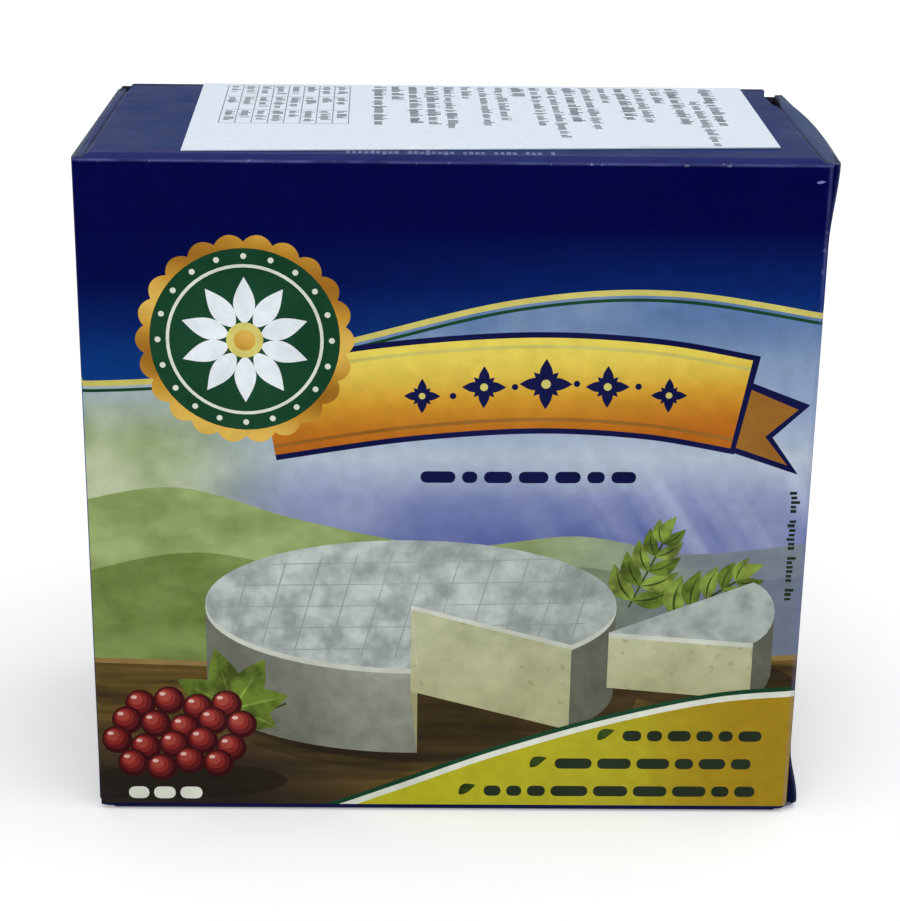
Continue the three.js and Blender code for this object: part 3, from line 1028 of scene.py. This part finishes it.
def board_edge():
    """Cut edge, stained blue-grey by the ink and darkened further as painted shade."""
    g = Graph("board_edge", 0.15)
    fibre = g.noise(1.8, 4)
    colour = g.ramp(fibre, (0.3, 68, 75, 94), (0.6, 98, 106, 124))
    g.bump((g.noise(2.5, 3), 0.02))
    return g.finish(colour, fibre, 0.8, 0.92)


def label_sheet(name, paint):
    """Matt sticker paper, with the ink of its small print soaked in a little."""
    g = Graph(name, 0.2)
    cloud = g.noise(0.5, 4)
    colour = g.shaded(paint(g), g.remap(cloud, 0.3, 0.7, 0.985, 1.01))
    g.bump((g.noise(0.03, 1), 0.03), (g.noise(2.4, 3), 0.003))
    return g.finish(colour, cloud, 0.55, 0.7)


def label_paint(*rgb):
    dark, light = (seen(*(v + change for v in rgb), TOP_LIGHT) for change in (-3, 3))
    return lambda g: g.mix(g.patches(1.5, 3), dark, light)


LABEL_INKS = {
    "label_white": label_paint(224, 234, 244),
    "label_rule": label_paint(140, 146, 158),
    "label_soft": label_paint(88, 96, 110),
    "label_ink": label_paint(48, 54, 68),
}
MATERIALS = {}


def material(ink):
    if ink not in MATERIALS:
        if ink in PRINT_INKS:
            MATERIALS[ink] = printed(f"print_{ink}", PRINT_INKS[ink])
        elif ink in LABEL_INKS:
            MATERIALS[ink] = label_sheet(ink, LABEL_INKS[ink])
        else:
            MATERIALS[ink] = {"board_back": board_back, "board_edge": board_edge}[ink]()
    return MATERIALS[ink]


# Sheets: triangulated flat with the print's edges in them, then folded and given thickness

def area(loop):
    return sum(x0 * y1 - x1 * y0 for (x0, y0), (x1, y1) in zip(loop, loop[1:] + loop[:1])) / 2


def flat_triangles(outline, art, lines, points):
    """Flat points, and triangles with the ink of the topmost shape over each."""
    verts, edges, faces = [], [], []

    def add(run):
        start = len(verts)
        verts.extend(Vector(p) for p in run)
        return list(range(start, len(verts)))

    for loop in [outline] + [loop for _, loop in art]:
        faces.append(add(loop if area(loop) > 0 else loop[::-1]))
    for line in lines:
        run = add(line)
        edges += zip(run, run[1:])
    add(points)
    coords, _, tris, _, _, origin = delaunay_2d_cdt(verts, edges, faces, 0, 1e-4, True)
    kept = [(list(tri), max(over)) for tri, over in zip(tris, origin) if 0 in over]
    used = sorted({i for tri, _ in kept for i in tri})
    number = {old: new for new, old in enumerate(used)}
    tris = [([number[i] for i in tri], art[top - 1][0] if top else None) for tri, top in kept]
    return [tuple(coords[i]) for i in used], tris


def open_edges(faces):
    """Directed edges that belong to one face only."""
    single = {}
    for face in faces:
        for pair in zip(face, face[1:] + face[:1]):
            key = frozenset(pair)
            if single.pop(key, None) is None:
                single[key] = pair
    return list(single.values())


def vertex_normals(points, tris):
    normals = [Vector() for _ in points]
    for tri in tris:
        a, b, c = (points[i] for i in tri)
        normal = (b - a).cross(c - a)
        for i in tri:
            normals[i] += normal
    return [n.normalized() for n in normals]


# Texture map: the printed side over most of it, the plain back and the row of edges in strips below
MAP_LEFT, MAP_WIDTH = 0.01, 0.98
MAP_PRINT = (0.125, 0.865)
MAP_BACK = (0.03, 0.08)
MAP_EDGES = (0.01, 0.008)
MAP_ROW_LEFT, MAP_ROW_WIDTH, MAP_EDGE_SHARE = 0.005, 0.99, 0.9


def bake_map(mesh, flat, count, rim_start):
    layer = mesh.uv_layers.new(name="OFBake")
    low = [min(p[i] for p in flat) for i in (0, 1)]
    size = [max(p[i] for p in flat) - low[i] for i in (0, 1)]
    step = MAP_ROW_WIDTH / (len(mesh.polygons) - rim_start)
    for poly in mesh.polygons:
        for corner, loop in enumerate(poly.loop_indices):
            vertex = mesh.loops[loop].vertex_index
            u, v = ((flat[vertex % count][i] - low[i]) / size[i] for i in (0, 1))
            if poly.index >= rim_start:
                u = poly.index - rim_start + (corner in (1, 2)) * MAP_EDGE_SHARE
                v = int(corner > 1)
                left, width, (foot, tall) = MAP_ROW_LEFT, step, MAP_EDGES
            else:
                left, width, (foot, tall) = MAP_LEFT, MAP_WIDTH, MAP_BACK if vertex >= count else MAP_PRINT
            layer.data[loop].uv = (left + width * u, foot + tall * v)


def sheet(name, outline, art, fold, ground, lines=(), points=(), creases=(),
          back="board_back", edge="board_edge", thickness=SHEET):
    """One folded sheet: print outside, plain back inside, cut edges between them."""
    wear_and_sheen_lines = [line for axis, at, reach, _ in creases for line in crease_lines(outline, axis, at, reach)]
    flat, tris = flat_triangles(outline, art, list(lines) + wear_and_sheen_lines, points)
    outer = [Vector(fold(*p)) for p in flat]
    faces = [tri for tri, _ in tris]
    normals = vertex_normals(outer, faces)
    middle = Vector((0, 0, HEIGHT / 2))
    if sum(n.dot(p - middle) for n, p in zip(normals, outer)) < 0:
        faces = [tri[::-1] for tri in faces]
        normals = [-n for n in normals]
    inner = [p - n * thickness for p, n in zip(outer, normals)]
    count = len(outer)
    rim = open_edges(faces)
    inks = sorted({ink or ground for _, ink in tris}) + [back, edge]
    slots = [inks.index(ink or ground) for _, ink in tris]
    slots += [inks.index(back)] * len(tris) + [inks.index(edge)] * len(rim)
    faces += [[i + count for i in tri[::-1]] for tri in faces]
    faces += [[j, i, i + count, j + count] for i, j in rim]

    mesh = bpy.data.meshes.new(name)
    mesh.from_pydata([p * MM for p in outer + inner], [], faces)
    for ink in inks:
        mesh.materials.append(material(ink))
    mesh.polygons.foreach_set("material_index", slots)
    mesh.polygons.foreach_set("use_smooth", [True] * len(faces))
    borders = {frozenset(pair) for pair in rim} | {frozenset((i + count, j + count)) for i, j in rim}
    sharp = mesh.attributes.new("sharp_edge", "BOOLEAN", "EDGE")
    sharp.data.foreach_set("value", [frozenset(e.vertices) in borders for e in mesh.edges])
    # Per-point strength of crease wear and of the painted crease highlight.
    wear_and_sheen = mesh.attributes.new("wear_and_sheen", "FLOAT", "POINT")
    wear_and_sheen.data.foreach_set("value", [wear_and_sheen_at(p, creases) for p in flat] + [0.0] * count)
    bake_map(mesh, flat, count, 2 * len(tris))
    mesh.update()
    piece = linked(name, mesh)
    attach(piece, "root")
    return piece


def wear_and_sheen_at(point, creases):
    """Wear and painted crease highlight from 0 to 1. A crease is its axis, its place, how far its wear and
    highlight reach and how strong they are.
    """
    wear_and_sheen = [(1 - abs(point[axis] - at) / reach) * strength for axis, at, reach, strength in creases]
    return max([0.0] + wear_and_sheen)


def crease_lines(outline, axis, at, reach):
    """Lines on a crease and at both sides of its band of wear and painted highlight, so that both fade over
    the band.
    """
    other = [p[1 - axis] for p in outline]
    along = steps(min(other) - 1, max(other) + 1, 24)
    places = [at - reach, at - reach / 2, at, at + reach / 2, at + reach]
    return [[(value, t) if axis == 0 else (t, value) for t in along] for value in places]


def grid(x0, x1, s0, s1, step):
    columns = max(2, round((x1 - x0) / step))
    rows = max(2, round((s1 - s0) / step))
    return [(x, s) for x in steps(x0, x1, columns)[1:-1] for s in steps(s0, s1, rows)[1:-1]]


def rows_at(values, x0, x1, count=22):
    return [[(x, s) for x in steps(x0, x1, count)] for s in values]


def columns_at(values, s0, s1, count=20):
    return [[(x, s) for s in steps(s0, s1, count)] for x in values]


def turn_rows(start):
    return steps(start, start + TURN, 8)


def dip_columns():
    """Columns over the strip where the wrapped panels sink towards their end creases."""
    return [
        end.side * x
        for end in (RIGHT, LEFT)
        for x in steps(end.crease - GROOVE_RUN, end.crease, 5)
    ]


def along_y(y):
    """Position on the top panel's blank of a place y."""
    return S_TOP + y + DEPTH / 2 - FOLD


def front_panel():
    half = WIDTH / 2
    low, high = S_FRONT - TURN - LIP, S_TOP + LIP
    foot, head = S_FRONT - FOOT_REACH, S_FRONT + FRONT_RUN + HEAD_REACH
    r, q, c = RIGHT.corner, LEFT.corner, HEAD_CORNER
    outline = [(LEFT_X, low), (RIGHT_X, low), (RIGHT_X, foot)]
    outline += arc(half - r, foot + r, r, -90, 0) + arc(half - c, head - c, c, 0, 90, 3)
    outline += [(RIGHT_X, head), (RIGHT_X, high), (LEFT_X, high), (LEFT_X, head)]
    outline += arc(-half + c, head - c, c, 90, 180, 3) + arc(-half + q, foot + q, q, 180, 270)
    outline += [(LEFT_X, foot)]
    lines = rows_at(turn_rows(S_FRONT - TURN) + turn_rows(S_TOP - TURN), -half - 1, half + 1)
    lines += columns_at([-half + 1, -half + 0.5, half - 1, half - 0.5], foot, head)
    lines += columns_at(dip_columns(), S_TOP - TURN, high, 8) + columns_at(dip_columns(), low, S_FRONT, 8)
    # Creases with wear and a painted highlight along them: the top crease and the right edge of the front.
    creases = [(1, S_TOP - TURN, 0.3, 1.0), (1, S_TOP - 0.1, 0.25, 0.7), (0, half - 0.25, 0.4, 0.7)]
    points = grid(-half, half, S_FRONT, S_TOP - TURN, PANEL_GRID)
    piece = sheet("front_panel", outline, front_art(), fold_front, "navy",
                  lines, points, creases)
    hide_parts("carton")


def flap_tip(end, start, stop, step=0.0):
    """A dust flap's cut edges, from its crease out to its chamfered tip."""
    x, tip = end.crease, end.crease + end.wing
    return [(x, start + step), (tip - WING_CHAMFER, start + step), (tip, start + WING_TAPER),
            (tip, stop - WING_TAPER), (tip - WING_CHAMFER, stop)]


def wing(end, front, back, far_back):
    """Outline of a dust flap from its front edge to its back edge, for the end at the right."""
    gap_length, gap_width = end.gap
    x, cut = end.crease, end.cut
    return flap_tip(end, front, far_back) + [
        (x + gap_width, far_back), (x + 0.7 * gap_width, back - 0.33 * gap_length),
        (x + 0.1, back - gap_length), (x - 2 * cut, back - gap_length + 1),
        (x - 2.8 * cut, back - 0.45 * gap_length)]


def top_panel():
    front, back = along_y(-DEPTH / 2 + FOLD + FLAP_CUT), along_y(DEPTH / 2 - BOARD)
    low, high = S_TOP + LIP, S_TOP + TOP_RUN - LIP
    outline = [(LEFT_X, low), (RIGHT_X, low)] + wing(RIGHT, front, back, back - 0.1)
    outline += [(RIGHT_X - RIGHT.cut, high), (LEFT_X + LEFT.cut, high)]
    outline += [(-x, s) for x, s in reversed(wing(LEFT, front, back, back - 0.1))]
    fan = [end.side * (end.crease + t) for end in (RIGHT, LEFT) for t in steps(0, 4.5, 22)]
    lines = columns_at(dip_columns() + fan, low - 1, high + 1, 24)
    piece = sheet("top_panel", outline, top_art(), fold_panel, "navy_top",
                  lines, grid(LEFT_X, RIGHT_X, low, high, FLAP_GRID))
    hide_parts("carton")


def back_panel():
    low = S_TOP + TOP_RUN - LIP
    right_cut, left_cut = RIGHT_X - RIGHT.cut, LEFT_X + LEFT.cut
    outline = [(left_cut, low), (right_cut, low), (right_cut, S_BACK), (RIGHT_X - LIP, S_BACK),
               (RIGHT_X - LIP, S_END), (LEFT_X + LIP, S_END), (LEFT_X + LIP, S_BACK), (left_cut, S_BACK)]
    lines = rows_at(turn_rows(S_BACK - TURN), -WIDTH / 2, WIDTH / 2)
    lines += columns_at(dip_columns(), low, S_BACK, 8)
    # Creases with wear and a painted highlight along them.
    creases = [(1, S_BACK - TURN / 2, 0.6, 0.7), (1, S_END, 0.4, 0.5)]
    piece = sheet("back_panel", outline, back_art(), fold_back, "navy",
                  lines, grid(LEFT_X, RIGHT_X, S_BACK, S_END, PANEL_GRID), creases)
    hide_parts("carton")


def bottom_wing(end, back, front):
    return flap_tip(end, back, front, 0.3) + [(end.crease, front)]


def bottom_panel():
    """Bottom with its dust flaps, and the glue flap that goes up inside the back panel."""
    high = S_FRONT - TURN - LIP
    front, back = S_FRONT - TURN - FLAP_CUT, S_BOTTOM
    outline = [(LEFT_X, S_BOTTOM - TURN), (LEFT_X + GLUE_TAPER, 0), (RIGHT_X - GLUE_TAPER, 0),
               (RIGHT_X, S_BOTTOM - TURN), (RIGHT_X, back)]
    outline += bottom_wing(RIGHT, back, front)
    outline += [(RIGHT_X, high), (LEFT_X, high)]
    outline += [(-x, s) for x, s in reversed(bottom_wing(LEFT, back, front))] + [(LEFT_X, back)]
    fan = [end.side * (end.crease + t) for end in (RIGHT, LEFT) for t in steps(0, 4.0, 20)]
    lines = columns_at(dip_columns() + fan, S_BOTTOM, high + 1, 24)
    lines += columns_at(dip_columns(), S_BOTTOM - TURN, S_BOTTOM, 4)
    lines += rows_at(turn_rows(S_BOTTOM - TURN), -WIDTH / 2, WIDTH / 2)
    # Creases with wear and a painted highlight along them.
    creases = [(0, RIGHT_X, 0.4, 0.5), (0, LEFT_X, 0.4, 0.5), (1, S_BOTTOM - TURN / 2, 0.8, 0.6)]
    piece = sheet("bottom_panel", outline, bottom_art(),
                  lambda x, s: fold_panel(x, s, False), "navy_top",
                  lines, grid(LEFT_X, RIGHT_X, S_BOTTOM, high, FLAP_GRID), creases)
    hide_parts("carton")


def end_panel(name, end):
    far = T_TUCK + TUCK_RUN
    top = CLOSURE_TOP
    dip = HEIGHT - end.notch
    outline = [(0, CLOSURE_FOOT), (T_TUCK, CLOSURE_FOOT), (far, CLOSURE_FOOT + TUCK_TAPER),
               (far, top - TUCK_TAPER), (T_TUCK, top), (HINGE_RUN + 0.7, top), (HINGE_RUN + 0.3, dip),
               (0.55, dip), (0.4, top), (0, top)]
    lines = columns_at(turn_rows(HINGE_RUN) + turn_rows(T_TUCK - TURN), CLOSURE_FOOT - 1, top + 1, 40)
    bowed = steps(top - end.top_reach, top - 0.7, 7)
    bowed += steps(CLOSURE_FOOT + 0.7, CLOSURE_FOOT + end.foot_reach, 5)
    lines += rows_at(bowed, 0, far, 30)
    # Creases with wear and a painted highlight along them.
    creases = [(0, HINGE_RUN + TURN / 2, 0.6, 0.6), (0, T_TUCK - TURN / 2, 0.5, 0.5)]
    piece = sheet(name, outline, end_art(end), end_folder(end), "navy",
                  lines, grid(0, far, CLOSURE_FOOT, top, END_GRID), creases)
    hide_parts("carton")


def label():
    front = [FOLD - DEPTH / 2 + y for y in LABEL_FRONT]
    drop = [TURN + d for d in LABEL_DROP]
    outline = [(0, front[0]), (LABEL_LENGTH, front[1]), (LABEL_LENGTH, drop[1]), (0, drop[0])]
    lines = rows_at(steps(0, TURN, 8), -1, LABEL_LENGTH + 1)
    piece = sheet("sticker", outline, label_art(), fold_label, "label_white",
                  lines, grid(0, LABEL_LENGTH, front[0], drop[0], LABEL_GRID), (),
                  "label_white", "label_white", LABEL_THICK)
    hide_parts("label")


# Stage, light and camera

FLOOR_HALF, FLOOR_Z = 6.0, -0.00003


def floor():
    mesh = bpy.data.meshes.new("floor")
    corners = rect(-FLOOR_HALF, -FLOOR_HALF, FLOOR_HALF, FLOOR_HALF)
    mesh.from_pydata([(x, y, FLOOR_Z) for x, y in corners], [], [(0, 1, 2, 3)])
    g = Graph("floor", 0.0)
    tone = g.mix(g.noise(0.002, 2), (0.8, 0.8, 0.81, 1), (0.82, 0.82, 0.82, 1))
    g.shader.inputs["Emission Color"].default_value = (1, 1, 1, 1)
    # The floor glows, less near the carton and more further away: painted light that keeps the floor white
    # while a contact shadow stays next to the carton.
    away = g.node("ShaderNodeVectorMath", {0: g.place}, operation="LENGTH").outputs["Value"]
    glow = g.math("ADD", g.remap(away, 0.05, 0.16, 0.24, 0.34), g.remap(away, 0.2, 0.8, 0.0, 0.3))
    g.tree.links.new(glow, g.shader.inputs["Emission Strength"])
    mesh.materials.append(g.finish(tone, g.noise(0.01, 1), 0.85, 0.95))
    plane = linked("floor", mesh)


def area_light(name, place, target, size, power):
    data = bpy.data.lights.new(name, "AREA")
    data.shape = "RECTANGLE"
    data.size, data.size_y = size
    data.energy = power
    lamp = linked(name, data)
    lamp.location = place
    lamp.rotation_euler = (Vector(target) - Vector(place)).to_track_quat("-Z", "Y").to_euler()


def lights():
    world = bpy.data.worlds.new("studio")
    world.use_nodes = True
    world.node_tree.nodes["Background"].inputs["Color"].default_value = (0.97, 0.985, 1.0, 1)
    world.node_tree.nodes["Background"].inputs["Strength"].default_value = 0.55
    bpy.context.scene.world = world
    area_light("overhead", (0.1, -0.2, 0.9), (0, 0, 0.04), (0.9, 0.7), 4.5)
    area_light("front", (-0.35, -0.95, 0.55), (0, 0, 0.04), (0.7, 0.7), 1.9)


def camera():
    turns = ((-CAMERA_YAW, "Z"), (90 - CAMERA_PITCH, "X"), (CAMERA_ROLL, "Z"))
    yaw, pitch, roll = (Matrix.Rotation(radians(angle), 4, axis) for angle, axis in turns)
    data = bpy.data.cameras.new("camera")
    data.sensor_width = SENSOR
    data.lens = FOCAL_PIXELS * SENSOR / IMAGE_HEIGHT
    data.shift_x = (IMAGE_WIDTH / 2 - LENS_CENTRE[0]) / IMAGE_HEIGHT
    data.shift_y = (LENS_CENTRE[1] - IMAGE_HEIGHT / 2) / IMAGE_HEIGHT
    data.clip_start, data.clip_end = 0.01, 50
    ob = linked("camera", data)
    ob.matrix_world = Matrix.Translation(Vector(CAMERA_PLACE) * MM) @ yaw @ pitch @ roll
    bpy.context.scene.camera = ob


camera()
lights()
floor()
front_panel()
top_panel()
back_panel()
bottom_panel()
end_panel("end_right", RIGHT)
end_panel("end_left", LEFT)
label()
bpy.context.scene.view_settings.view_transform = "Standard"
